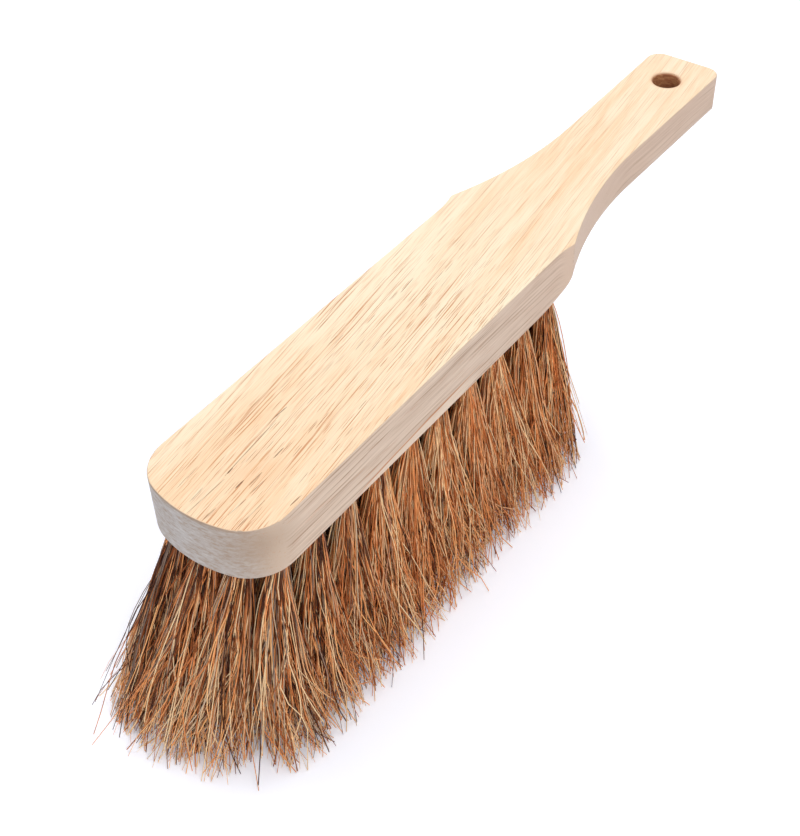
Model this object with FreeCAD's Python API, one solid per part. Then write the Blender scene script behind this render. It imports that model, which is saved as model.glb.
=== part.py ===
import FreeCAD, Part
import math
import os

from FreeCAD import Placement, Rotation, Vector

# Hand broom: a one-piece wooden stock, coir tufts set in blind holes in its underside,
# and a flat wire anchor across each hole that holds the folded tuft down.
# Millimetres. The pieces are drawn on a bench frame and moved together at the end: X runs from
# the front of the head to the handle's end, Y = 0 is the plane of symmetry, and Z = 0 is the
# surface that the tips stand on.

# Stock in plan
overall_length = 280.0        # front of the head to the handle's end
head_width = 45.8             # across the straight sides
front_bow_radius = 43.0       # the slightly bowed front end
front_corner_radius = 14.5
shoulder_distance = 158.0     # front of the head to the shoulder tips
flare_length = 9.0            # over which the sides widen towards the shoulder tips
shoulder_flare = 1.3          # how far each shoulder tip stands outside the straight side
shoulder_radius = 2.5
waist_distance = 215.5        # front of the head to the handle's waist
waist_width = 26.8
handle_end_width = 28.6
end_corner_radius = 5.4

# Stock in side view
stock_thickness = 19.0
round_under_radius = 8.0      # rounding of the lower edges along neck, handle and end
arris_radius = 0.5            # sanded edge round the top face

# Hanging hole
hang_hole_diameter = 10.0
hang_hole_from_end = 17.0     # centre to the handle's end
hang_hole_chamfer = 0.6

# Tuft holes, in two outer and two inner rows
tufts_in_row = 10
tuft_hole_diameter = 6.6
tuft_hole_depth = 13.0
side_margin = 2.9             # wood between the outer rows' holes and the head's sides
front_margin = 11.7           # wood between the inner rows' first holes and the front
rear_margin = 2.2             # wood between the outer rows' last holes and the line of the shoulder tips
corner_setback = 1.5          # outer rows' first holes behind the inner rows', for the round corners
neck_setback = 6.5            # inner rows' last holes behind the outer rows', towards the neck

# Tufts
bristle_length = 66.0         # free height from the head's underside to the tips
front_reach = 27.5            # how far the front tips stand ahead of their holes, less towards the rear
side_reach = 8.0              # how far the outer rows' tips stand outside theirs
tip_gap = 1.2                 # clear space between neighbouring tufts at their tips
tuft_clearance = 0.1          # between a tuft and its hole, all round and at the bottom

# Anchors
anchor_height = 2.0           # along the hole
anchor_thickness = 0.5
anchor_bite = 0.8             # how far each end cuts into the wood
anchor_clearance = 0.05
fold_height = 2.2             # folded fibres between the anchor and the bottom of the hole

# Levels
underside = bristle_length
top = underside + stock_thickness
same_place = 1e-3             # how close two places are to count as one, when an edge is looked up

# Hole pattern on the underside
hole_radius = tuft_hole_diameter / 2
outer_offset = head_width / 2 - side_margin - hole_radius
inner_offset = outer_offset / 3
inner_first = front_margin + hole_radius
outer_first = inner_first + corner_setback
outer_last = shoulder_distance - rear_margin - hole_radius
inner_last = outer_last + neck_setback
outer_pitch = (outer_last - outer_first) / (tufts_in_row - 1)
inner_pitch = (inner_last - inner_first) / (tufts_in_row - 1)

# Spread of the tufts, which grows evenly from the roots to the tips
stretch_along = 1 + front_reach / (outer_last - inner_first)
stretch_across = 1 + side_reach / outer_offset
row_distance = (outer_offset - inner_offset) * stretch_across
tip_spacing = min(inner_pitch * stretch_along, outer_pitch * stretch_along, row_distance)
tip_radius = (tip_spacing - tip_gap) / 2
tuft_radius = hole_radius - tuft_clearance


def line(start, end):
    return Part.LineSegment(start, end).toShape()


def arc_centre(start, direction, end):
    """Centre of the arc that leaves start along direction and stops at end."""
    along = Vector(direction).normalize()
    chord = end - start
    across = chord - along * chord.dot(along)
    radius = chord.Length ** 2 / (2 * across.Length)
    return start + across.normalize() * radius


def arc_leaving(start, direction, end):
    """The arc that leaves start along direction and stops at end."""
    centre = arc_centre(start, direction, end)
    outward = (start + end) * 0.5 - centre
    middle = centre + outward.normalize() * (start - centre).Length
    return Part.Arc(start, middle, end).toShape()


# Corners of the plan on the left side, at the level of the underside
bow_depth = front_bow_radius - math.sqrt(front_bow_radius ** 2 - (head_width / 2) ** 2)
front_corner = Vector(bow_depth, head_width / 2, underside)
flare = Vector(shoulder_distance - flare_length, head_width / 2, underside)
shoulder = Vector(shoulder_distance, head_width / 2 + shoulder_flare, underside)
waist = Vector(waist_distance, waist_width / 2, underside)
end_corner = Vector(overall_length, handle_end_width / 2, underside)
end_middle = Vector(overall_length, 0, underside)
front_middle = Vector(0, 0, underside)
up = Vector(0, 0, 1)


def mirrored(shape):
    """The same on the other side of the plane of symmetry."""
    return shape.mirror(Vector(0, 0, 0), Vector(0, 1, 0))


def upright_edges(shape, corner):
    """The upright edges through a corner of the plan and through its mirror image."""
    found = []
    for edge in shape.Edges:
        box = edge.BoundBox
        upright = max(box.XLength, box.YLength) < same_place
        beside = abs(box.Center.x - corner.x) < same_place and abs(abs(box.Center.y) - corner.y) < same_place
        if upright and beside:
            found.append(edge)
    return found


def plan_block():
    """The stock's plan at its full thickness, with the upright corners rounded."""
    left = [
        line(front_corner, flare),
        arc_leaving(flare, Vector(1, 0, 0), shoulder),
        arc_leaving(waist, waist - end_corner, shoulder),
        line(waist, end_corner),
        line(end_corner, end_middle),
        arc_leaving(front_middle, Vector(0, 1, 0), front_corner),
    ]
    right = [mirrored(edge) for edge in left]
    outline = Part.Wire(Part.__sortEdges__(left + right))
    block = Part.Face(outline).extrude(up * stock_thickness).removeSplitter()
    for corner, radius in (
        (front_corner, front_corner_radius),
        (shoulder, shoulder_radius),
        (end_corner, end_corner_radius),
    ):
        block = block.makeFillet(radius, upright_edges(block, corner))
    return block


def round_under_section(wall, inward):
    """Section of the wood that the rounding takes off, at a point on the foot of a wall."""
    radius = round_under_radius
    inner = wall + inward * radius
    upper = wall + up * radius
    middle = wall + (inward + up) * (radius - radius / math.sqrt(2))
    corners = [upper, upper - inward * radius, wall - (inward + up) * radius, inner - up * radius, inner]
    edges = [Part.Arc(inner, middle, upper).toShape()]
    for start, end in zip(corners, corners[1:]):
        edges.append(line(start, end))
    return Part.Face(Part.Wire(edges))


def round_under():
    """What the rounding takes off along handle, neck and end, running straight out past the shoulders."""
    handle_way = (end_corner - waist).normalize()
    handle_inward = Vector(handle_way.y, -handle_way.x, 0)
    handle_run = (end_corner - waist).Length + round_under_radius
    section = round_under_section(waist, handle_inward)
    handle = section.extrude(handle_way * handle_run)
    centre = arc_centre(waist, waist - end_corner, shoulder)
    neck_turn = math.degrees((waist - centre).getAngle(shoulder - centre))
    neck = section.revolve(centre, up, -neck_turn)
    shoulder_inward = (shoulder - centre).normalize()
    run_out_way = Vector(shoulder_inward.y, -shoulder_inward.x, 0)
    run_out_length = round_under_radius / run_out_way.y
    run_out = round_under_section(shoulder, shoulder_inward).extrude(run_out_way * run_out_length)
    left = [handle, neck, run_out]
    past_corner = end_corner + Vector(0, round_under_radius, 0)
    end = round_under_section(past_corner, Vector(-1, 0, 0)).extrude(Vector(0, -2 * past_corner.y, 0))
    return left + [mirrored(tool) for tool in left] + [end]


def top_edges(block):
    """Edges round the top face."""
    return [edge for edge in block.Edges if edge.BoundBox.ZMin > top - same_place]


def hang_hole():
    """The hole through the handle, chamfered at both ends."""
    radius = hang_hole_diameter / 2
    wide = radius + hang_hole_chamfer
    foot = end_middle - Vector(hang_hole_from_end, 0, 0)
    bore = Part.makeCylinder(radius, stock_thickness, foot)
    upper = Part.makeCone(radius, wide, hang_hole_chamfer, foot + up * (stock_thickness - hang_hole_chamfer))
    lower = Part.makeCone(wide, radius, hang_hole_chamfer, foot)
    return [bore, upper, lower]


def tuft_places():
    """Each tuft's name, its place on the underside, and its way from there to the surface."""
    rows = (
        ("left_outer", outer_first, outer_pitch, outer_offset),
        ("left_inner", inner_first, inner_pitch, inner_offset),
        ("right_inner", inner_first, inner_pitch, -inner_offset),
        ("right_outer", outer_first, outer_pitch, -outer_offset),
    )
    for row, first, pitch, y in rows:
        for number in range(tufts_in_row):
            x = first + pitch * number
            lean_along = (x - outer_last) * (stretch_along - 1)
            lean_across = y * (stretch_across - 1)
            way = Vector(lean_along, lean_across, -bristle_length)
            yield f"{row}_tuft_{number + 1:02d}", Vector(x, y, underside), way


def placed(shape, mouth, way):
    """Copy of a shape that was drawn with the hole's mouth at the origin and the tuft along -Z."""
    copy = shape.copy()
    copy.Placement = Placement(mouth, Rotation(Vector(0, 0, -1), way))
    return copy


def strip(length, thickness, low, high):
    """Flat strip across a hole, between two heights above its mouth."""
    corner = Vector(-length / 2, -thickness / 2, low)
    return Part.makeBox(length, thickness, high - low, corner)


# Anchor in its hole, above the mouth at the origin
anchor_top = tuft_hole_depth - tuft_clearance - fold_height
anchor_bottom = anchor_top - anchor_height
anchor_length = tuft_hole_diameter + 2 * anchor_bite
below_mouth = -tuft_hole_diameter


def tuft_hole():
    """Blind hole with the two grooves that the anchor's ends cut on their way in."""
    bore = Part.makeCylinder(hole_radius, tuft_hole_depth - below_mouth, Vector(0, 0, below_mouth))
    room = 2 * anchor_clearance
    high = anchor_top + anchor_clearance
    grooves = strip(anchor_length + room, anchor_thickness + room, below_mouth, high)
    return bore.fuse(grooves)


def anchor():
    return strip(anchor_length, anchor_thickness, anchor_bottom, anchor_top)


def tuft(way):
    """Folded bundle in the hole, round the anchor, spreading from the mouth past the tips."""
    tilt = way.getAngle(Vector(0, 0, -1))
    spread_start = hole_radius * math.tan(tilt)
    spread_length = way.Length - spread_start
    run_over = tip_spacing
    end_radius = tuft_radius + (tip_radius - tuft_radius) * (spread_length + run_over) / spread_length
    fold = tuft_hole_depth - tuft_clearance
    root = Part.makeCylinder(tuft_radius, fold + spread_start, Vector(0, 0, -spread_start))
    tip_level = -spread_start - spread_length - run_over
    spread = Part.makeCone(end_radius, tuft_radius, spread_length + run_over, Vector(0, 0, tip_level))
    room = anchor_clearance
    slot = strip(anchor_length, anchor_thickness + 2 * room, anchor_bottom - room, anchor_top + room)
    return root.fuse(spread).removeSplitter().cut(slot)


def below_surface():
    """Block under the surface that the tips stand on, where the tufts are trimmed level."""
    reach = 2 * overall_length
    return Part.makeBox(reach, reach, reach, Vector(-reach / 2, -reach / 2, -reach))


def build():
    stock = plan_block()
    stock = stock.makeFillet(arris_radius, top_edges(stock))
    stock = stock.cut(round_under())
    ground = below_surface()
    cuts = hang_hole()
    anchors = []
    pieces = {}
    for name, mouth, way in tuft_places():
        cuts.append(placed(tuft_hole(), mouth, way))
        anchors.append(placed(anchor(), mouth, way))
        pieces[name] = placed(tuft(way), mouth, way).cut(ground)
    pieces["stock"] = stock.cut(cuts)
    pieces["tuft_anchors"] = Part.makeCompound(anchors)
    return pieces


def centred(pieces):
    """Move every piece so that the origin is below the middle of the whole broom."""
    whole = Part.makeCompound(list(pieces.values())).optimalBoundingBox()
    shift = Vector(-whole.Center.x, -whole.Center.y, -whole.ZMin)
    for shape in pieces.values():
        shape.translate(shift)
    print("shift", [round(value, 3) for value in shift])
    print("size", round(whole.XLength, 2), round(whole.YLength, 2), round(whole.ZLength, 2))


os.makedirs("parts", exist_ok=True)
broom = build()
centred(broom)
for name, shape in broom.items():
    shape.exportStep(f"parts/{name}.step")
    if not shape.isValid():
        print("not valid:", name)
print(len(broom), "pieces, tufts", round(2 * tip_radius, 2), "mm across at the tips")
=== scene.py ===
import math
import bpy
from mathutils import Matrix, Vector


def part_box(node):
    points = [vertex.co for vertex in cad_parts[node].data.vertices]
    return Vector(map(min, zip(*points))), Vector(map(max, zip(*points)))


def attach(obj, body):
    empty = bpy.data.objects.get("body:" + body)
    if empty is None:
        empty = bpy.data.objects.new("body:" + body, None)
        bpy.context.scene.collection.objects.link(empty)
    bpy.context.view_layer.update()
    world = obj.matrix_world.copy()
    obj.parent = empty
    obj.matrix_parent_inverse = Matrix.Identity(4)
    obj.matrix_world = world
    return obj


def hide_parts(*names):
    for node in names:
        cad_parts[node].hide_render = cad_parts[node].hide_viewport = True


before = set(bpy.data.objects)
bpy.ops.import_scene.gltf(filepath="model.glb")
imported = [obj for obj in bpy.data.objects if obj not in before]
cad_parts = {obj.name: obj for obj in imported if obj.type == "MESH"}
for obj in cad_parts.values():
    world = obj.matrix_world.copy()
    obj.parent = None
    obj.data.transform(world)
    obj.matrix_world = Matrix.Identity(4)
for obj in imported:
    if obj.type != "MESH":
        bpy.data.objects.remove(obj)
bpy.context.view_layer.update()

scene = bpy.context.scene
scene.view_settings.view_transform = "Standard"
print("frame:", len(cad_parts), "nodes")


# node helpers, for the fibre tree and the finishes alike
def addNode(tree, kind, **settings):
    node = tree.nodes.new(kind)
    for name, value in settings.items():
        setattr(node, name, value)
    return node


def feed(tree, socket, value):
    if isinstance(value, bpy.types.NodeSocket):
        tree.links.new(value, socket)
    else:
        socket.default_value = value


def sums(tree, operation, *values):
    node = addNode(tree, "ShaderNodeMath", operation=operation)
    for socket, value in zip(node.inputs, values):
        feed(tree, socket, value)
    return node.outputs[0]


def vectors(tree, operation, *values):
    node = addNode(tree, "ShaderNodeVectorMath", operation=operation)
    sockets = [node.inputs[0], node.inputs["Scale"]] if operation == "SCALE" else node.inputs
    for socket, value in zip(sockets, values):
        feed(tree, socket, value)
    return node.outputs["Value" if operation in ("LENGTH", "DOT_PRODUCT") else "Vector"]


def combine(tree, x, y, z):
    node = addNode(tree, "ShaderNodeCombineXYZ")
    for socket, value in zip(node.inputs, (x, y, z)):
        feed(tree, socket, value)
    return node.outputs[0]


def blend(tree, share, a, b):
    node = addNode(tree, "ShaderNodeMix", data_type="RGBA")
    for name, value in (("Factor_Float", share), ("A_Color", a), ("B_Color", b)):
        feed(tree, next(s for s in node.inputs if s.identifier == name), value)
    return next(s for s in node.outputs if s.identifier == "Result_Color")


def ease(tree, value, low, high, start=0.0, end=1.0):
    node = addNode(tree, "ShaderNodeMapRange", interpolation_type="SMOOTHSTEP")
    for socket, number in zip(node.inputs, (value, low, high, start, end)):
        feed(tree, socket, number)
    return node.outputs[0]


def newGroup(name, treeKind, inputs, outputs):
    group = bpy.data.node_groups.new(name, treeKind)
    for label, kind, value in inputs:
        socket = group.interface.new_socket(label, in_out="INPUT", socket_type=kind)
        if value is not None:
            socket.default_value = value
    for label, kind in outputs:
        group.interface.new_socket(label, in_out="OUTPUT", socket_type=kind)
    given = addNode(group, "NodeGroupInput").outputs
    result = addNode(group, "NodeGroupOutput").inputs
    return group, given, result


def placeGroup(tree, group, values):
    node = addNode(tree, "ShaderNodeGroup", node_tree=group)
    for label, value in values.items():
        feed(tree, node.inputs[label], value)
    return node.outputs


def newMaterial(name):
    material = bpy.data.materials.new(name)
    material.use_nodes = True
    return material, material.node_tree, material.node_tree.nodes["Principled BSDF"]


# camera, where the photograph was taken from
view = {"place": (-0.289589, -0.196679, 0.354719), "turn": (46.0553, 1.4997, -53.7443), "lens": 59.868}

camera = bpy.data.objects.new("camera", bpy.data.cameras.new("camera"))
camera.location = view["place"]
camera.rotation_euler = [math.radians(a) for a in view["turn"]]
camera.data.lens = view["lens"]
camera.data.clip_start = 0.01
scene.collection.objects.link(camera)
scene.camera = camera


# floor and light
studio = {"floorSize": 8.0, "floorColour": (0.92, 0.95, 1.0, 1), "nearLift": 0.21, "farLift": 0.7,
          "nearGlow": (0.78, 0.84, 1.0, 1), "farGlow": (1, 1, 1, 1), "nearEdge": 0.3, "farEdge": 1.3,
          "skyColour": (0.93, 0.94, 1.0, 1), "skyStrength": 0.47,
          "boxes": {
              "softbox": {"size": 1.0, "place": (0.4, 0.1, 1.15), "power": 6.7, "colour": (1.0, 0.96, 0.92)},
              "fill": {"size": 0.5, "place": (-0.6, -0.75, 0.6), "power": 5.2, "colour": (1.0, 0.95, 0.9)},
              "rim": {"size": 0.7, "place": (0.0, 0.9, 0.6), "power": 3.5, "colour": (1.0, 0.97, 0.94)}}}


def seenDirectly(tree):
    path = addNode(tree, "ShaderNodeLightPath").outputs
    mirrored = sums(tree, "MAXIMUM", path["Is Glossy Ray"], path["Is Transmission Ray"])
    return sums(tree, "MAXIMUM", path["Is Camera Ray"], mirrored)


def makeStudio():
    half = studio["floorSize"] / 2
    mesh = bpy.data.meshes.new("floor")
    corners = [(-half, -half, 0), (half, -half, 0), (half, half, 0), (-half, half, 0)]
    mesh.from_pydata(corners, [], [(0, 1, 2, 3)])
    floor = bpy.data.objects.new("floor", mesh)
    scene.collection.objects.link(floor)
    material, tree, shader = newMaterial("paleFloor")
    shader.inputs["Base Color"].default_value = studio["floorColour"]
    shader.inputs["Roughness"].default_value = 1.0
    shader.inputs["Specular IOR Level"].default_value = 0.0
    seen = seenDirectly(tree)
    away = vectors(tree, "LENGTH", addNode(tree, "ShaderNodeTexCoord").outputs["Object"])
    # far out the lamps fade, and the paper stays white
    far = ease(tree, away, studio["nearEdge"], studio["farEdge"])
    feed(tree, shader.inputs["Emission Color"], blend(tree, far, studio["nearGlow"], studio["farGlow"]))
    lift = ease(tree, far, 0, 1, studio["nearLift"], studio["farLift"])
    feed(tree, shader.inputs["Emission Strength"], sums(tree, "MULTIPLY", seen, lift))
    mesh.materials.append(material)

    world = bpy.data.worlds.new("studio")
    world.use_nodes = True
    scene.world = world
    tree = world.node_tree
    seen = seenDirectly(tree)
    backdrop = tree.nodes["Background"]
    feed(tree, backdrop.inputs["Color"], blend(tree, seen, studio["skyColour"], (1, 1, 1, 1)))
    feed(tree, backdrop.inputs["Strength"], ease(tree, seen, 0, 1, studio["skyStrength"], 1.0))

    for name, box in studio["boxes"].items():
        lamp = bpy.data.lights.new(name, "AREA")
        lamp.size = box["size"]
        lamp.energy = box["power"]
        lamp.color = box["colour"]
        holder = bpy.data.objects.new(name, lamp)
        holder.location = box["place"]
        holder.rotation_euler = (-Vector(box["place"])).to_track_quat("-Z", "Y").to_euler()
        scene.collection.objects.link(holder)
    print("studio: floor, sky and", len(studio["boxes"]), "lamps")


makeStudio()


# wood of the stock
wood = {"cream": (0.895, 0.785, 0.585, 1), "peach": (0.88, 0.635, 0.41, 1), "line": (0.76, 0.43, 0.22, 1),
        # the side colours sit darker than cream and peach: partly greyer side grain, partly painted shade on
        # the sides
        "side": (0.65, 0.515, 0.405, 1), "handleSide": (0.625, 0.465, 0.355, 1),
        "sideLine": (0.34, 0.215, 0.14, 1), "sideLight": (0.74, 0.60, 0.475, 1),
        "endGrain": (0.475, 0.445, 0.425, 1), "endLight": (0.60, 0.57, 0.54, 1),
        "stain": (0.34, 0.24, 0.165, 1), "pore": (0.52, 0.19, 0.06, 1),
        "deepPore": (0.24, 0.075, 0.02, 1), "crack": (0.15, 0.045, 0.012, 1),
        "bore": (0.32, 0.125, 0.055, 1), "boreLight": (0.52, 0.27, 0.12, 1),
        "turn": 7.0, "pith": (0.0, 0.14, -0.02), "drift": 0.0025, "driftRate": (11, 40, 40),
        "bands": {"broad": {"Width": 0.011, "Run": 0.3}, "streak": {"Width": 0.0024, "Run": 0.05},
                  "hair": {"Width": 0.0003, "Run": 0.014},
                  "thread": {"Width": 0.0004, "Run": 0.06, "Detail": 1.0},
                  "chain": {"Width": 0.0011, "Run": 0.04, "Detail": 0.0}},
        "boldPores": {"Length": 0.028, "Width": 0.0006, "Size": 0.2, "Share": 0.7},
        "smallPores": {"Length": 0.013, "Width": 0.00037, "Size": 0.27, "Share": 0.9},
        "boldDepth": 1.0, "smallDepth": 0.85,
        "headRun": (-0.04, 0.055), "paintedLeftLightRun": (0.004, 0.021), "peachRun": (-0.13, 0.03),
        "holePlace": (0.133497, 0.0), "holeRadius": 0.005, "holeScorch": (0.0001, 0.0005),
        "holeHalo": (0.0004, 0.002), "arris": (0.0836, 0.0845), "carving": 0.0003,
        "cloudScale": 30.0, "mottleScale": 700.0, "mottleStretch": (1, 0.45, 1.7),
        "stainPlace": (-0.122, -0.02, 0.079), "stainSize": 0.024,
        "smudgePlace": (-0.108, -0.004, 0.085), "smudgeSize": 0.012,
        "seamStart": (-0.0845, 0.0676), "seamEnd": (-0.0295, 0.0702),
        "seamWobble": 0.0005, "seamThickness": (0.0001, 0.00045),
        # long pores seen on the flat top: start, end, thickness and strength
        "marks": (
            ((-0.129, -0.0007), (-0.114, -0.0006), 0.0002, 0.55),
            ((-0.113, 0.0001), (-0.0885, 0.0026), 0.0002, 0.65),
            ((-0.112, 0.0001), (-0.1095, 0.0003), 0.0003, 1.0),
            ((-0.1149, -0.0053), (-0.1114, -0.0052), 0.00028, 0.9),
            ((-0.112, -0.0076), (-0.1063, -0.0073), 0.0002, 0.75),
            ((-0.1255, 0.0015), (-0.1197, 0.002), 0.00025, 0.7),
            ((-0.1233, -0.0101), (-0.1163, -0.0102), 0.00022, 0.65),
            ((-0.1262, -0.015), (-0.1137, -0.0146), 0.0002, 0.55),
            ((-0.1113, -0.0213), (-0.1066, -0.0214), 0.00022, 0.8),
            ((-0.1003, -0.0064), (-0.0957, -0.0061), 0.00022, 0.8),
            ((-0.0886, 0.0037), (-0.0826, 0.0036), 0.00022, 0.8),
            ((-0.114, -0.0098), (-0.1076, -0.0098), 0.0002, 0.6),
            ((-0.1283, -0.0058), (-0.1231, -0.0057), 0.00022, 0.6))}


def drifted(tree, place):
    # the grain wanders a little on its way along the board
    warp = addNode(tree, "ShaderNodeTexNoise")
    warp.inputs["Scale"].default_value = 1.0
    feed(tree, warp.inputs["Vector"], vectors(tree, "MULTIPLY", place, wood["driftRate"]))
    drift = vectors(tree, "SUBTRACT", warp.outputs["Color"], (0.5, 0.5, 0.5))
    drift = vectors(tree, "MULTIPLY", drift, (0, wood["drift"], wood["drift"]))
    return vectors(tree, "ADD", place, drift)


def bandGroup():
    # bands that run along the board, following the growth rings
    group, given, result = newGroup(
        "growthBands", "ShaderNodeTree",
        [("Place", "NodeSocketVector", None), ("Pith", "NodeSocketVector", wood["pith"]),
         ("Width", "NodeSocketFloat", 0.008), ("Run", "NodeSocketFloat", 0.4),
         ("Detail", "NodeSocketFloat", 2.0)],
        [("Band", "NodeSocketFloat")])
    away = vectors(group, "SUBTRACT", given["Place"], given["Pith"])
    ring = vectors(group, "LENGTH", vectors(group, "MULTIPLY", away, (0, 1, 1)))
    along = addNode(group, "ShaderNodeSeparateXYZ")
    feed(group, along.inputs[0], given["Place"])
    noise = addNode(group, "ShaderNodeTexNoise", noise_dimensions="2D")
    noise.inputs["Scale"].default_value = 1.0
    feed(group, noise.inputs["Detail"], given["Detail"])
    lengthwise = sums(group, "DIVIDE", along.outputs[0], given["Run"])
    crosswise = sums(group, "DIVIDE", ring, given["Width"])
    feed(group, noise.inputs["Vector"], combine(group, lengthwise, crosswise, 0))
    feed(group, result["Band"], noise.outputs[0])
    return group


def poreGroup():
    # open pores, cut lengthwise into thin dashes
    group, given, result = newGroup(
        "poreDashes", "ShaderNodeTree",
        [("Place", "NodeSocketVector", None), ("Length", "NodeSocketFloat", 0.02),
         ("Width", "NodeSocketFloat", 0.0011), ("Size", "NodeSocketFloat", 0.2),
         ("Share", "NodeSocketFloat", 0.5)],
        [("Mask", "NodeSocketFloat"), ("Depth", "NodeSocketFloat")])
    spot = addNode(group, "ShaderNodeTexVoronoi", feature="F1")
    spot.inputs["Scale"].default_value = 1.0
    cell = combine(group, given["Length"], given["Width"], given["Width"])
    feed(group, spot.inputs["Vector"], vectors(group, "DIVIDE", given["Place"], cell))
    chance = addNode(group, "ShaderNodeSeparateColor")
    feed(group, chance.inputs[0], spot.outputs["Color"])
    core = sums(group, "MULTIPLY", given["Size"], 0.65)
    edge = ease(group, spot.outputs["Distance"], core, given["Size"], 1.0, 0.0)
    kept = sums(group, "LESS_THAN", chance.outputs[0], given["Share"])
    feed(group, result["Mask"], sums(group, "MULTIPLY", edge, kept))
    feed(group, result["Depth"], chance.outputs[1])
    return group


def markGroup():
    # one long pore on the flat top, between two points
    group, given, result = newGroup(
        "grainMark", "ShaderNodeTree",
        [("Place", "NodeSocketVector", None), ("Start", "NodeSocketVector", None),
         ("End", "NodeSocketVector", None), ("Thickness", "NodeSocketFloat", 0.0002)],
        [("Mask", "NodeSocketFloat")])
    run = vectors(group, "SUBTRACT", given["End"], given["Start"])
    away = vectors(group, "MULTIPLY", vectors(group, "SUBTRACT", given["Place"], given["Start"]), (1, 1, 0))
    ahead, whole = vectors(group, "DOT_PRODUCT", away, run), vectors(group, "DOT_PRODUCT", run, run)
    share = sums(group, "DIVIDE", ahead, whole)
    share = sums(group, "MINIMUM", sums(group, "MAXIMUM", share, 0), 1)
    off = vectors(group, "LENGTH", vectors(group, "SUBTRACT", away, vectors(group, "SCALE", run, share)))
    slim = ease(group, sums(group, "ABSOLUTE", sums(group, "SUBTRACT", share, 0.5)), 0.25, 0.5, 1, 0.4)
    edge = sums(group, "MULTIPLY", given["Thickness"], slim)
    feed(group, result["Mask"], ease(group, off, sums(group, "MULTIPLY", edge, 0.5), edge, 1, 0))
    return group


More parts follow.
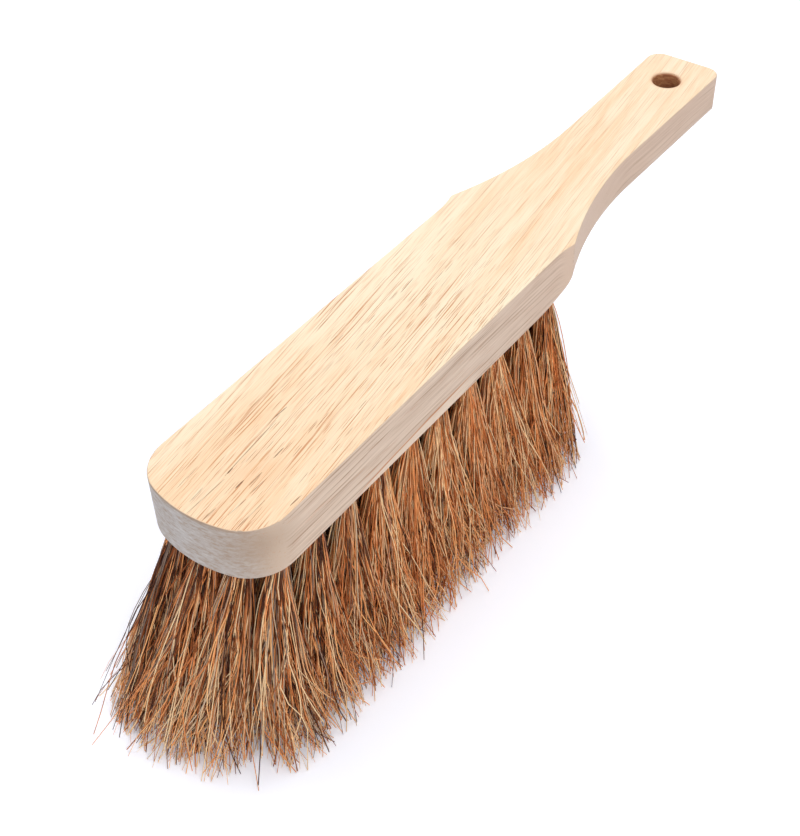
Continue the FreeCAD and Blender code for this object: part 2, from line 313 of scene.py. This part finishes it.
def woodMaterial():
    material, tree, shader = newMaterial("paleHardwood")
    coords = addNode(tree, "ShaderNodeTexCoord").outputs
    where = coords["Object"]
    facing = addNode(tree, "ShaderNodeSeparateXYZ")
    feed(tree, facing.inputs[0], coords["Normal"])
    flat = ease(tree, facing.outputs[2], 0.55, 0.95)
    turned = sums(tree, "ABSOLUTE", facing.outputs[0])

    # on the flat top the grain runs a little askew
    askew = addNode(tree, "ShaderNodeMapping")
    feed(tree, askew.inputs["Vector"], where)
    askew.inputs["Rotation"].default_value = (0, 0, -math.radians(wood["turn"]))
    skew = vectors(tree, "SCALE", vectors(tree, "SUBTRACT", askew.outputs[0], where), flat)
    grain = drifted(tree, vectors(tree, "ADD", where, skew))
    bands, pores = bandGroup(), poreGroup()
    broad, streak, hair, thread, chain = [
        placeGroup(tree, bands, {"Place": grain, **wood["bands"][name]})["Band"]
        for name in ("broad", "streak", "hair", "thread", "chain")]
    bold = placeGroup(tree, pores, {"Place": grain, **wood["boldPores"]})
    small = placeGroup(tree, pores, {"Place": grain, **wood["smallPores"]})
    spots = addNode(tree, "ShaderNodeSeparateXYZ")
    feed(tree, spots.inputs[0], where)
    x, y, z = spots.outputs
    ends = ease(tree, turned, 0.3, 0.9)
    head = ease(tree, x, *wood["headRun"], 1, 0)  # the handle is of quieter wood than the head
    paintedLeftLight = ease(tree, y, *wood["paintedLeftLightRun"])  # painted light: paler and plainer along the left edge, as if washed out by bright light
    cloud = addNode(tree, "ShaderNodeTexNoise")
    cloud.inputs["Scale"].default_value = wood["cloudScale"]
    feed(tree, cloud.inputs["Vector"], vectors(tree, "MULTIPLY", where, (0.5, 1, 1)))

    def blob(place, size):
        away = vectors(tree, "LENGTH", vectors(tree, "SUBTRACT", where, place))
        away = sums(tree, "ADD", away, ease(tree, cloud.outputs[0], 0.3, 0.7, -size / 3, size / 3))
        return ease(tree, away, size * 0.3, size, 1, 0)

    # flat top: cream and peach bands, thin lines
    streaked = sums(tree, "MULTIPLY", ease(tree, streak, 0.35, 0.7), ease(tree, head, 0, 1, 0.6, 0.25))
    shade = sums(tree, "ADD", ease(tree, broad, 0.3, 0.7, 0, 0.45), streaked)
    shade = sums(tree, "ADD", shade, ease(tree, x, *wood["peachRun"], 0.6, -0.2))
    shade = sums(tree, "ADD", shade, ease(tree, head, 0, 1, 0.3, 0))
    # painted light: the top is blended towards cream near the left edge
    shade = sums(tree, "ADD", shade, ease(tree, paintedLeftLight, 0, 1, 0, -0.45))
    top = blend(tree, shade, wood["cream"], wood["peach"])
    fine = sums(tree, "MULTIPLY", ease(tree, hair, 0.53, 0.7), ease(tree, head, 0, 1, 0.25, 0.42))
    top = blend(tree, fine, top, wood["line"])
    top = blend(tree, ease(tree, hair, 0.3, 0.45, 0.5, 0), top, wood["cream"])
    drawn = sums(tree, "MULTIPLY", ease(tree, thread, 0.62, 0.71), ease(tree, hair, 0.35, 0.55, 0.35, 1))
    top = blend(tree, sums(tree, "MULTIPLY", drawn, ease(tree, head, 0, 1, 0.32, 0.75)), top, wood["pore"])
    smudge = sums(tree, "MULTIPLY", blob(wood["smudgePlace"], wood["smudgeSize"]), 0.3)
    top = blend(tree, smudge, top, wood["line"])

    broken = ease(tree, hair, 0.32, 0.52, 0.35, 1)
    marks = markGroup()
    for start, end, thickness, strength in wood["marks"]:
        mark = placeGroup(tree, marks, {
            "Place": where, "Start": (*start, 0), "End": (*end, 0), "Thickness": thickness})
        mask = sums(tree, "MULTIPLY", sums(tree, "MULTIPLY", mark["Mask"], broken), strength)
        top = blend(tree, mask, top, wood["crack"])

    # sides: greyer and darker than the top, partly the wood's own side grain and partly painted shade, with
    # one dark seam low on the right and pale wood below it
    lines = sums(tree, "ADD", ease(tree, streak, 0.35, 0.75, 0, 0.22), ease(tree, hair, 0.5, 0.75, 0, 0.25))
    lines = sums(tree, "ADD", lines, ease(tree, thread, 0.58, 0.72, 0, 0.6))
    plain = sums(tree, "MULTIPLY", ease(tree, turned, 0.01, 0.2, 1, 0), ease(tree, head, 0, 1, 0.5, 1))
    lines = sums(tree, "MULTIPLY", lines, plain)
    side = blend(tree, lines, blend(tree, head, wood["handleSide"], wood["side"]), wood["sideLine"])
    lit = sums(tree, "MULTIPLY", ease(tree, thread, 0.28, 0.44, 0.5, 0), plain)
    side = blend(tree, lit, side, wood["sideLight"])
    (seamX, seamZ), (seamStopX, seamStopZ) = wood["seamStart"], wood["seamEnd"]
    rise = (seamStopZ - seamZ) / (seamStopX - seamX)
    level = sums(tree, "MULTIPLY_ADD", sums(tree, "SUBTRACT", x, seamX), rise, seamZ)
    level = sums(tree, "ADD", level, ease(tree, streak, 0.3, 0.7, -wood["seamWobble"], wood["seamWobble"]))
    above = sums(tree, "SUBTRACT", z, level)
    inRun = sums(tree, "MULTIPLY", ease(tree, x, seamX - 0.004, seamX + 0.008),
                 ease(tree, x, seamStopX - 0.008, seamStopX + 0.012, 1, 0))
    inRun = sums(tree, "MULTIPLY", inRun, ease(tree, facing.outputs[1], -0.9, -0.7, 1, 0))
    pale = sums(tree, "MULTIPLY", ease(tree, above, -0.0006, -0.0002, 0.9, 0), inRun)
    seam = ease(tree, sums(tree, "ABSOLUTE", above), *wood["seamThickness"], 0.8, 0)
    seam = sums(tree, "MULTIPLY", seam, inRun)
    side = blend(tree, pale, side, wood["sideLight"])
    side = blend(tree, seam, side, wood["pore"])

    # front and handle end: end grain, mottled, with a stain by the corner
    mottle = addNode(tree, "ShaderNodeTexNoise")
    mottle.inputs["Scale"].default_value = wood["mottleScale"]
    mottle.inputs["Detail"].default_value = 6.0
    mottle.inputs["Roughness"].default_value = 0.7
    feed(tree, mottle.inputs["Vector"], vectors(tree, "MULTIPLY", where, wood["mottleStretch"]))
    end = blend(tree, ease(tree, mottle.outputs[0], 0.44, 0.64, 0, 0.7), wood["endGrain"], wood["stain"])
    end = blend(tree, ease(tree, mottle.outputs[0], 0.34, 0.46, 0.7, 0), end, wood["endLight"])
    end = blend(tree, ease(tree, cloud.outputs[0], 0.5, 0.68, 0, 0.25), end, wood["stain"])
    stained = sums(tree, "MULTIPLY", blob(wood["stainPlace"], wood["stainSize"]), 0.7)
    arris = sums(tree, "MULTIPLY", ease(tree, z, *wood["arris"], 0, 0.75), ends)
    stained = sums(tree, "MAXIMUM", stained, arris)

    colour = blend(tree, stained, blend(tree, ends, side, end), wood["stain"])
    colour = blend(tree, flat, colour, top)
    busy = ease(tree, chain, 0.42, 0.58, 0.35, 1)
    quiet = ease(tree, ends, 0, 1, 1, 0.25)
    quiet = sums(tree, "MULTIPLY", quiet, ease(tree, flat, 0, 1, 0.5, 1))
    quiet = sums(tree, "MULTIPLY", quiet, ease(tree, head, 0, 1, 0.12, 1))
    # painted light also quiets the pore dashes on the top near the left edge
    quiet = sums(tree, "MULTIPLY", quiet, ease(tree, sums(tree, "MULTIPLY", paintedLeftLight, flat), 0, 1, 1, 0.45))
    busy = sums(tree, "MULTIPLY", busy, quiet)
    for dashes, depth in ((small, wood["smallDepth"]), (bold, wood["boldDepth"])):
        mask = sums(tree, "MULTIPLY", sums(tree, "MULTIPLY", dashes["Mask"], busy), depth)
        tone = blend(tree, ease(tree, dashes["Depth"], 0.5, 1.0), wood["pore"], wood["deepPore"])
        colour = blend(tree, mask, colour, tone)

    # the drilled hole, scorched by the bit
    away = vectors(tree, "SUBTRACT", where, (*wood["holePlace"], 0))
    radius = vectors(tree, "LENGTH", vectors(tree, "MULTIPLY", away, (1, 1, 0)))
    halo = ease(tree, radius, *[wood["holeRadius"] + step for step in wood["holeHalo"]], 0.35, 0)
    colour = blend(tree, halo, colour, wood["line"])
    scorch = ease(tree, radius, *[wood["holeRadius"] + step for step in wood["holeScorch"]], 1, 0)
    drilled = blend(tree, ease(tree, mottle.outputs[0], 0.4, 0.65), wood["bore"], wood["boreLight"])
    colour = blend(tree, scorch, colour, drilled)
    feed(tree, shader.inputs["Base Color"], colour)
    feed(tree, shader.inputs["Roughness"], ease(tree, hair, 0.2, 0.8, 0.52, 0.66))
    shader.inputs["Specular IOR Level"].default_value = 0.35
    bump = addNode(tree, "ShaderNodeBump")
    bump.inputs["Strength"].default_value = 0.3
    bump.inputs["Distance"].default_value = wood["carving"]
    carved = sums(tree, "MAXIMUM", bold["Mask"], small["Mask"])
    feed(tree, bump.inputs["Height"], sums(tree, "SUBTRACT", sums(tree, "MULTIPLY", hair, 0.35), carved))
    feed(tree, shader.inputs["Normal"], bump.outputs[0])
    return material


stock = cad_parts["stock"]
stock.data.materials.clear()
stock.data.materials.append(woodMaterial())
print("stock: wood finish")


# wire anchors, out of sight in their holes
wire = {"colour": (0.55, 0.53, 0.5, 1), "roughness": 0.38}


def wireMaterial():
    material, tree, shader = newMaterial("flatWire")
    shader.inputs["Metallic"].default_value = 1.0
    shader.inputs["Base Color"].default_value = wire["colour"]
    scratch = addNode(tree, "ShaderNodeTexNoise")
    scratch.inputs["Scale"].default_value = 900.0
    feed(tree, scratch.inputs["Vector"], addNode(tree, "ShaderNodeTexCoord").outputs["Object"])
    smooth, rough = wire["roughness"] - 0.1, wire["roughness"] + 0.1
    feed(tree, shader.inputs["Roughness"], ease(tree, scratch.outputs[0], 0.3, 0.7, smooth, rough))
    return material


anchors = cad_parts["tuft_anchors"]
anchors.data.materials.clear()
anchors.data.materials.append(wireMaterial())
print("anchors: wire finish")


# coir tufts; splay and the sweeps bend the fibres of a row beyond the straight line to their tips,
# and the ranges and powers say how much one fibre differs from the next and how late its bend sets in
coir = {"fibres": 400, "points": 14, "sides": 3, "rootRadius": 0.0026, "tipRadius": 0.0044,
        "wisps": 16, "wispTurn": 2.39996, "wispScatter": 0.25, "crossing": 0.85, "looseness": 0.0092,
        "curl": 0.015, "curlRange": (0.2, 1), "curlPower": (1.8, 4.2),
        "bow": 0.0085, "bowRange": (0.15, 1.1), "bowPower": 1.5, "bowPeak": 5.4,
        "wave": 0.0034, "waveRange": (0.3, 1.6), "waveTurns": (5, 14), "wavePower": 0.7,
        "leanPower": 1.12, "flareRange": (0.7, 1.3), "flarePower": 2.2, "spreadPower": 1.1,
        "reach": 0.0125, "endNarrowing": 0.0015, "conePower": 1.05, "mouthRoom": 1.15, "crowding": 5,
        "seatDepth": 0.008, "tipClear": 0.0002, "unevenness": 0.009, "unevenPower": 3,
        "width": 0.00038, "widthRange": (0.55, 1.45), "taper": 0.3, "taperPower": 2.5,
        "strays": 0.15, "strayReach": 0.021, "strayRange": (0.4, 1), "strayPower": 3.2,
        "strayLift": 0.034, "strayLiftPower": 1.6, "alongStretch": 1.7, "innerStretch": 1.5,
        "seed": 11, "seedStep": 40, "tufts": 10, "frontTufts": 4, "rearTufts": 2, "endTufts": 2,
        "splay": {"left_outer": -0.0035, "left_inner": -0.001, "right_inner": -0.001, "right_outer": -0.003},
        "frontSweep": {"left_outer": (-0.005, -0.004), "left_inner": (-0.006, 0.0),
                       "right_inner": (-0.002, 0.003), "right_outer": (0.0135, 0.0005)},
        "rearSweep": -0.008,
        "strayWay": {"left_outer": (-0.45, 0.65), "left_inner": (-0.6, 0.1),
                     "right_inner": (-0.3, -0.1), "right_outer": (0.4, -0.65)},
        "strayTone": {"left_outer": 0.55, "left_inner": 0.3, "right_inner": 0.1, "right_outer": 0.0},
        "strayLimit": {"left_outer": 0.017, "left_inner": 0.019, "right_inner": 0.019, "right_outer": 0.0155},
        "frontAge": 0.03, "sideAge": -0.12, "frontTone": 0.19, "sideTone": 0.12,
        "frontContrast": 1.95, "sideContrast": 1.65,
        # painted shade and light at the roots: positive root values darken the fibres towards the stock
        # (front, inner rows, rear tufts), negative ones lighten them (the outer side)
        "frontRootTone": 0.6, "sideRootTone": -0.25, "innerRootShading": 1.0, "rearRootShading": 0.45,
        "ownTone": 0.85, "wispTone": 0.15, "rootShadingPower": 1.5, "mottle": 0.14,
        "shades": ((0.0, (0.05, 0.011, 0.003, 1)), (0.22, (0.36, 0.1, 0.026, 1)),
                   (0.46, (0.9, 0.345, 0.122, 1)), (0.8, (1.0, 0.545, 0.225, 1)),
                   (1.0, (1.0, 0.74, 0.44, 1))),
        # aged and rust are fibre colours; the last colour is painted shade for the fibres just below the
        # stock
        "aged": (0.46, 0.36, 0.29, 1), "rust": (0.66, 0.19, 0.04, 1), "paintedRootShade": (0.28, 0.16, 0.105, 1)}


def coirMaterial():
    material, tree, shader = newMaterial("coirFibre")
    tone, age, run = [addNode(tree, "ShaderNodeAttribute", attribute_name=name).outputs["Fac"]
                      for name in ("fibreTone", "fibreAge", "fibreRun")]
    ramp = addNode(tree, "ShaderNodeValToRGB")
    stops = ramp.color_ramp.elements
    while len(stops) < len(coir["shades"]):
        stops.new(0.5)
    for stop, (place, colour) in zip(stops, coir["shades"]):
        stop.position = place
        stop.color = colour
    mottle = addNode(tree, "ShaderNodeTexNoise")
    mottle.inputs["Scale"].default_value = 160.0
    feed(tree, mottle.inputs["Vector"], addNode(tree, "ShaderNodeTexCoord").outputs["Object"])
    blotch = ease(tree, mottle.outputs[0], 0.25, 0.75, -coir["mottle"], coir["mottle"])
    feed(tree, ramp.inputs[0], sums(tree, "ADD", tone, blotch))
    colour = blend(tree, ease(tree, age, 0.0, 0.4, 0.5, 0), ramp.outputs[0], coir["rust"])
    colour = blend(tree, ease(tree, age, 0.76, 1.0, 0, 0.7), colour, coir["aged"])
    # painted shade: the top fifth of each fibre, just below the stock, is blended a quarter of the way to a
    # dull grey-brown
    colour = blend(tree, ease(tree, run, 0.0, 0.2, 0.25, 0.0), colour, coir["paintedRootShade"])
    feed(tree, shader.inputs["Base Color"], colour)
    feed(tree, shader.inputs["Roughness"], ease(tree, mottle.outputs[0], 0.2, 0.8, 0.4, 0.62))
    shader.inputs["Specular IOR Level"].default_value = 0.2
    return material


def coirTree():
    floats = ("Root Radius", "Tip Radius", "Crossing", "Looseness", "Curl", "Reach", "Seat Depth", "Width",
              "Taper", "Unevenness", "Tip Clear", "Bow", "Wave", "Strays", "Stray Reach", "Stray Limit",
              "Stray Lift", "Age", "Tone", "Contrast", "Root Shading", "Stray Tone")
    tree, given, result = newGroup(
        "coirTuft", "GeometryNodeTree",
        [("Geometry", "NodeSocketGeometry", None), ("Mouth", "NodeSocketVector", None),
         ("Lean", "NodeSocketVector", (0, 0, -0.066)), ("Flare", "NodeSocketVector", None),
         ("Stray Way", "NodeSocketVector", None), ("Stretch", "NodeSocketVector", (1, 1, 1)),
         ("Fibres", "NodeSocketInt", 10), ("Points", "NodeSocketInt", 9), ("Sides", "NodeSocketInt", 3),
         ("Wisps", "NodeSocketInt", 17), ("Seed", "NodeSocketInt", 0),
         ("Material", "NodeSocketMaterial", None)]
        + [(name, "NodeSocketFloat", 0.0) for name in floats],
        [("Geometry", "NodeSocketGeometry")])

    # straight splines, one for each fibre
    rod = addNode(tree, "GeometryNodeCurvePrimitiveLine")
    rod.inputs["End"].default_value = (0, 0, 1)
    cut = addNode(tree, "GeometryNodeResampleCurve")
    feed(tree, cut.inputs["Curve"], rod.outputs[0])
    feed(tree, cut.inputs["Count"], given["Points"])
    bunch = addNode(tree, "GeometryNodeDuplicateElements", domain="SPLINE")
    feed(tree, bunch.inputs["Geometry"], cut.outputs[0])
    feed(tree, bunch.inputs["Amount"], given["Fibres"])

    who = addNode(tree, "GeometryNodeCurveOfPoint").outputs["Curve Index"]
    along = addNode(tree, "GeometryNodeSplineParameter").outputs["Factor"]
    wisp = addNode(tree, "FunctionNodeIntegerMath", operation="MODULO")
    feed(tree, wisp.inputs[0], who)
    feed(tree, wisp.inputs[1], given["Wisps"])
    wisp = wisp.outputs[0]

    def chance(low, high, step, element=who):
        seed = addNode(tree, "FunctionNodeIntegerMath", operation="ADD")
        feed(tree, seed.inputs[0], given["Seed"])
        feed(tree, seed.inputs[1], step)
        node = addNode(tree, "FunctionNodeRandomValue", data_type="FLOAT")
        for name, value in (("Min_001", low), ("Max_001", high), ("ID", element), ("Seed", seed.outputs[0])):
            feed(tree, next(s for s in node.inputs if s.identifier == name), value)
        return node.outputs[1]

    def times(*values):
        product = values[0]
        for other in values[1:]:
            product = sums(tree, "MULTIPLY", product, other)
        return product

    def around(angle, reach):
        x, y = [times(sums(tree, part, angle), reach) for part in ("COSINE", "SINE")]
        return combine(tree, x, y, 0)

    def disc(step, element=who):
        return around(chance(0, math.tau, step, element), sums(tree, "SQRT", chance(0, 1, step + 1, element)))

    def raised(value, power):
        return sums(tree, "POWER", value, power)

    def scaled(place, *factors):
        return vectors(tree, "SCALE", place, times(*factors))

    def total(*places):
        place = places[0]
        for other in places[1:]:
            place = vectors(tree, "ADD", place, other)
        return place

    # wisps spread evenly over the tuft, and each fibre loosely round its wisp
    turn = sums(tree, "MULTIPLY_ADD", wisp, coir["wispTurn"], given["Seed"])
    filled = sums(tree, "DIVIDE", sums(tree, "ADD", wisp, 0.5), given["Wisps"])
    wispPlace = around(turn, sums(tree, "SQRT", filled))
    wispPlace = total(wispPlace, scaled(disc(20, wisp), coir["wispScatter"]))
    ordered = sums(tree, "SUBTRACT", 1, given["Crossing"])
    rootPlace = total(scaled(wispPlace, given["Root Radius"], ordered, 0.8),
                      scaled(disc(17), given["Root Radius"], given["Crossing"]))
    tipPlace = total(scaled(wispPlace, given["Tip Radius"]), scaled(disc(1), given["Looseness"]))
    stray = sums(tree, "LESS_THAN", chance(0, 1, 3), given["Strays"])
    strayPlace = total(disc(4), given["Stray Way"])
    strayPlace = scaled(strayPlace, chance(*coir["strayRange"], 24), given["Stray Reach"], stray)
    curlPlace = scaled(disc(27), chance(*coir["curlRange"], 29), given["Curl"])

    # how far down each fibre goes, from its seat in the hole to its tip
    drop = times(vectors(tree, "DOT_PRODUCT", given["Lean"], (0, 0, 1)), -1)
    short = times(raised(chance(0, 1, 6), coir["unevenPower"]), given["Unevenness"])
    short = sums(tree, "ADD", short, given["Tip Clear"])
    lift = times(raised(chance(0, 1, 7), coir["strayLiftPower"]), given["Stray Lift"], stray)
    down = sums(tree, "SUBTRACT", 1, sums(tree, "DIVIDE", sums(tree, "ADD", short, lift), drop))
    seat = sums(tree, "DIVIDE", given["Seat Depth"], drop)
    share = sums(tree, "SUBTRACT", times(along, sums(tree, "ADD", down, seat)), seat)
    free = sums(tree, "MAXIMUM", share, 0)

    # lean and flare of the tuft; spread, sweep, curl, bow and wave of the fibre in it
    sideways = scaled(vectors(tree, "MULTIPLY", given["Lean"], (1, 1, 0)), raised(free, coir["leanPower"]))
    downward = scaled(vectors(tree, "MULTIPLY", given["Lean"], (0, 0, 1)), share)
    flare = scaled(given["Flare"], raised(free, coir["flarePower"]), chance(*coir["flareRange"], 8))
    spread = scaled(total(tipPlace, scaled(rootPlace, -1)), raised(free, coir["spreadPower"]))
    sweep = scaled(strayPlace, raised(free, coir["strayPower"]))
    curl = scaled(curlPlace, raised(free, chance(*coir["curlPower"], 33)))
    arch = times(raised(free, coir["bowPower"]), sums(tree, "SUBTRACT", 1, free), coir["bowPeak"])
    bow = scaled(disc(31), arch, given["Bow"], chance(*coir["bowRange"], 10))
    phase = sums(tree, "MULTIPLY_ADD", free, chance(*coir["waveTurns"], 11), chance(0, math.tau, 12))
    swing = around(chance(0, math.tau, 13), raised(free, coir["wavePower"]))
    wave = scaled(swing, sums(tree, "SINE", phase), given["Wave"], chance(*coir["waveRange"], 22))

    # the tuft holds its fibres together: they stay in a cone that opens towards the tips
    offset = total(rootPlace, spread, sweep, curl, bow, wave)
    mouthSize = times(given["Root Radius"], coir["mouthRoom"])
    tipSize = ease(tree, stray, 0, 1, given["Reach"], given["Stray Limit"])
    cone = sums(tree, "SUBTRACT", tipSize, mouthSize)
    cone = sums(tree, "MULTIPLY_ADD", cone, raised(free, coir["conePower"]), mouthSize)
    crowd = raised(sums(tree, "DIVIDE", vectors(tree, "LENGTH", offset), cone), coir["crowding"])
    offset = scaled(offset, raised(sums(tree, "ADD", crowd, 1), -1 / coir["crowding"]))
    wider = total(scaled(vectors(tree, "SUBTRACT", given["Stretch"], (1, 1, 1)), free), (1, 1, 1))
    offset = vectors(tree, "MULTIPLY", offset, wider)
    place = total(given["Mouth"], sideways, downward, flare, offset)

    bent = addNode(tree, "GeometryNodeSetPosition")
    feed(tree, bent.inputs["Geometry"], bunch.outputs["Geometry"])
    feed(tree, bent.inputs["Position"], place)

    def store(geometry, name, kind, domain, value):
        node = addNode(tree, "GeometryNodeStoreNamedAttribute", data_type=kind, domain=domain)
        node.inputs["Name"].default_value = name
        feed(tree, node.inputs["Geometry"], geometry)
        feed(tree, node.inputs["Value"], value)
        return node.outputs[0]

    def stored(name):
        node = addNode(tree, "GeometryNodeInputNamedAttribute", data_type="FLOAT")
        node.inputs["Name"].default_value = name
        return node.outputs[0]

    ownTone = times(chance(0, 1, 14), coir["ownTone"])
    wispTone = times(chance(0, 1, 15, wisp), coir["wispTone"])
    tone = sums(tree, "ADD", ownTone, wispTone)
    # painted shade near the roots: the tone drops towards the stock by the root value, and a negative value
    # paints light there instead
    height = sums(tree, "SUBTRACT", 1, sums(tree, "MINIMUM", free, 1))
    dim = times(raised(height, coir["rootShadingPower"]), given["Root Shading"])
    tone = sums(tree, "MULTIPLY_ADD", sums(tree, "SUBTRACT", tone, 0.5), given["Contrast"], 0.5)
    tone = sums(tree, "ADD", tone, sums(tree, "SUBTRACT", given["Tone"], dim))
    tone = sums(tree, "SUBTRACT", tone, times(stray, given["Stray Tone"]))
    strands = bent.outputs[0]
    age = sums(tree, "ADD", chance(0, 1, 23), given["Age"])
    for name, value in (("fibreRun", free), ("fibreTone", tone), ("fibreAge", age), ("fibreNumber", who)):
        strands = store(strands, name, "FLOAT", "POINT", value)

    section = addNode(tree, "GeometryNodeCurvePrimitiveCircle")
    feed(tree, section.inputs["Resolution"], given["Sides"])
    section.inputs["Radius"].default_value = 0.5
    section = store(section.outputs[0], "fibreSide", "FLOAT", "POINT",
                    addNode(tree, "GeometryNodeSplineParameter").outputs["Factor"])
    thinned = sums(tree, "SUBTRACT", 1, times(given["Taper"], raised(along, coir["taperPower"])))
    solid = addNode(tree, "GeometryNodeCurveToMesh")
    feed(tree, solid.inputs["Curve"], strands)
    feed(tree, solid.inputs["Profile Curve"], section)
    feed(tree, solid.inputs["Scale"], times(given["Width"], chance(*coir["widthRange"], 16), thinned))
    solid.inputs["Fill Caps"].default_value = True

    # a strip of the bake's map for each fibre, with a margin round it
    columns = 4
    number = stored("fibreNumber")
    column = sums(tree, "MODULO", number, columns)
    line = sums(tree, "FLOOR", sums(tree, "DIVIDE", number, columns))
    across = sums(tree, "MULTIPLY_ADD", stored("fibreSide"), 0.9, 0.2)
    lengthwise = sums(tree, "MULTIPLY_ADD", stored("fibreRun"), 0.92, 0.04)
    mapU = sums(tree, "DIVIDE", sums(tree, "ADD", column, lengthwise), columns)
    mapV = times(sums(tree, "ADD", line, across), columns)
    mapV = sums(tree, "DIVIDE", mapV, sums(tree, "ADD", given["Fibres"], columns))
    mapped = store(solid.outputs[0], "OFBake", "FLOAT2", "CORNER", combine(tree, mapU, mapV, 0))

    smooth = addNode(tree, "GeometryNodeSetShadeSmooth")
    feed(tree, smooth.inputs["Geometry"], mapped)
    real = addNode(tree, "GeometryNodeRealizeInstances")
    feed(tree, real.inputs["Geometry"], smooth.outputs[0])
    finish = addNode(tree, "GeometryNodeSetMaterial")
    feed(tree, finish.inputs["Geometry"], real.outputs[0])
    feed(tree, finish.inputs["Material"], given["Material"])
    feed(tree, result["Geometry"], finish.outputs[0])
    return tree


def tuftLine(node):
    # mouth of the tuft's hole and the middle of its tips, read from its CAD solid
    points = [v.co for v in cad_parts[node].data.vertices]
    foot = [p for p in points if p.z < 0.0002]
    tip = Vector([(min(p[i] for p in foot) + max(p[i] for p in foot)) / 2 for i in range(3)])
    away = max((p - tip).length for p in points)
    crown = [p for p in points if (p - tip).length > away - 0.0006]
    crown = sum(crown, Vector()) / len(crown)
    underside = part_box("stock")[0].z
    mouth = tip.lerp(crown, (underside - tip.z) / (crown.z - tip.z))
    return mouth, tip - mouth


def frontToSide(name, front):
    # from the tufts at the front to those along the side
    return coir["front" + name] * front + coir["side" + name] * (1 - front)


def makeTufts():
    tree, material = coirTree(), coirMaterial()
    sockets = {item.name: item.identifier for item in tree.interface.items_tree if item.in_out == "INPUT"}
    tufts = []
    for row in ("left_outer", "left_inner", "right_inner", "right_outer"):
        for number in range(1, coir["tufts"] + 1):
            node = f"{row}_tuft_{number:02d}"
            mouth, lean = tuftLine(node)
            tuft = bpy.data.objects.new(f"coir_{row}_{number:02d}", bpy.data.meshes.new("fibres"))
            scene.collection.objects.link(tuft)
            fibres = tuft.modifiers.new("fibres", "NODES")
            fibres.node_group = tree
            front = max(0.0, 1 - (number - 1) / coir["frontTufts"])
            rear = max(0.0, 1 - (coir["tufts"] - number) / coir["rearTufts"])
            along, across = coir["frontSweep"][row]
            flare = Vector((along * front + coir["rearSweep"] * rear, coir["splay"][row] + across * front, 0))
            fromEnd = min(number - 1, coir["tufts"] - number)
            inside = min(1.0, fromEnd / coir["endTufts"])
            widened = coir["innerStretch"] if "inner" in row else 1
            stretch = Vector((1 + (coir["alongStretch"] - 1) * inside, widened, 1))
            # painted shade at the roots of the front, rear and inner tufts, painted light at the roots along
            # the outer side
            rootShading = frontToSide("RootTone", front) + coir["rearRootShading"] * rear
            if "inner" in row and number > coir["endTufts"]:
                rootShading = coir["innerRootShading"]
            values = {"Mouth": mouth, "Lean": lean, "Flare": flare, "Stretch": stretch,
                      "Stray Way": Vector((*coir["strayWay"][row], 0)),
                      "Fibres": coir["fibres"], "Points": coir["points"], "Sides": coir["sides"],
                      "Wisps": coir["wisps"], "Seed": coir["seed"] + coir["seedStep"] * len(tufts),
                      "Material": material,
                      "Root Radius": coir["rootRadius"], "Tip Radius": coir["tipRadius"],
                      "Crossing": coir["crossing"], "Looseness": coir["looseness"], "Curl": coir["curl"],
                      "Reach": coir["reach"] - coir["endNarrowing"] * (1 - inside),
                      "Seat Depth": coir["seatDepth"], "Width": coir["width"], "Taper": coir["taper"],
                      "Unevenness": coir["unevenness"], "Tip Clear": coir["tipClear"], "Bow": coir["bow"],
                      "Wave": coir["wave"], "Strays": coir["strays"], "Stray Reach": coir["strayReach"],
                      "Stray Limit": coir["strayLimit"][row], "Stray Lift": coir["strayLift"],
                      "Stray Tone": coir["strayTone"][row],
                      "Age": frontToSide("Age", front), "Tone": frontToSide("Tone", front),
                      "Contrast": frontToSide("Contrast", front), "Root Shading": rootShading}
            for label, value in values.items():
                fibres[sockets[label]] = value
            tufts.append((tuft, node))
    depsgraph = bpy.context.evaluated_depsgraph_get()
    faces = 0
    for tuft, node in tufts:
        mesh = bpy.data.meshes.new_from_object(
            tuft.evaluated_get(depsgraph), preserve_all_data_layers=True, depsgraph=depsgraph)
        mesh.name = tuft.name
        tuft.modifiers.clear()
        tuft.data = mesh
        faces += sum(len(p.vertices) - 2 for p in mesh.polygons)
        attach(tuft, "root")
        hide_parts(node)
    print("coir:", len(tufts), "tufts,", faces, "triangles")


makeTufts()
